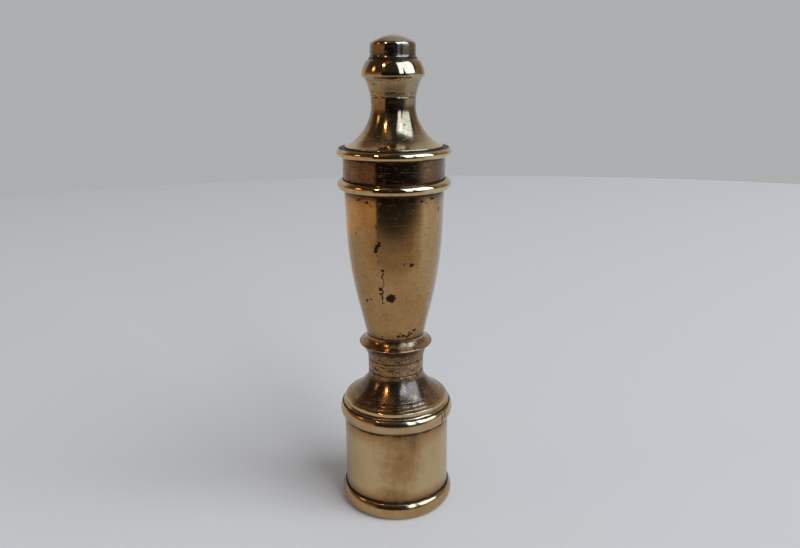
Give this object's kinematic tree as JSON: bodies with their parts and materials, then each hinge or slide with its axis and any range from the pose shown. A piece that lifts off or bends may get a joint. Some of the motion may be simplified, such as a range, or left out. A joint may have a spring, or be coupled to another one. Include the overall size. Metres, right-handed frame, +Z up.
{
  "type": "pepper mill",
  "caption": "Turned brass pepper mill: vase-shaped hopper on a waisted pedestal and beaded base, with a turning head and a domed adjusting nut.",
  "frame": {"origin": "centre of the foot, on the surface that the mill stands on", "axes": "+Z up along the turning axis, towards the finial nut; +X to the viewer's right, -Y towards the viewer"},
  "size_m": [0.0282, 0.0282, 0.1151],
  "materials": {
    "polished_brass": "polished, worn",
    "aged_brass": "satin, brown patina",
    "satin_brass": "satin, finely scratched",
    "inner_brass": "as turned",
    "bush_bronze": "as turned",
    "bright_steel": "plain drawn steel",
    "burr_steel": "hardened, dark",
    "spring_steel": "drawn wire",
    "washer_leather": "pressed, oiled"
  },
  "bodies": {
    "mill_body": {"base_sleeve": "satin_brass", "pedestal": "aged_brass", "hopper": "aged_brass", "burr_ring": "burr_steel", "bridge": "inner_brass", "bridge_bush": "bush_bronze", "locating_pins": "bright_steel", "spring": "spring_steel"},
    "bearing": {"bearing_washer": "washer_leather"},
    "turning_head": {"head": "polished_brass", "drive_plate": "inner_brass", "plate_screws": "bright_steel", "nut_washer": "polished_brass"},
    "adjuster": {"finial_nut": "polished_brass"},
    "thrust": {"thrust_washer": "bright_steel"},
    "grinding_spindle": {"spindle": "bright_steel", "burr_cone": "burr_steel", "burr_washer": "bright_steel", "lock_washer": "bright_steel", "burr_nut": "bright_steel"}
  },
  "joints": [
    {"name": "head_turn", "type": "hinge", "parent": "mill_body", "child": "bearing", "pos_m": [0, 0, 0.0904], "axis": [0, 0, 1], "continuous": true},
    {"name": "head_lift", "type": "slide", "parent": "bearing", "child": "turning_head", "axis": [0, 0, 1], "range_m": [0, 0.03]},
    {"name": "nut_turn", "type": "hinge", "parent": "turning_head", "child": "adjuster", "pos_m": [0, 0, 0.1101], "axis": [0, 0, 1], "range_deg": [-864, 0]},
    {"name": "grind_adjust", "type": "slide", "parent": "mill_body", "child": "thrust", "axis": [0, 0, 1], "range_m": [0, 0.0012], "deforming": ["spring"]},
    {"name": "spindle_turn", "type": "hinge", "parent": "thrust", "child": "grinding_spindle", "pos_m": [0, 0, 0.0099], "axis": [0, 0, 1], "continuous": true}
  ],
  "couplings": [
    {"joint": "spindle_turn", "follows": "head_turn", "ratio": 1},
    {"joint": "nut_turn", "follows": "grind_adjust", "rad_per_m": -12566}
  ]
}
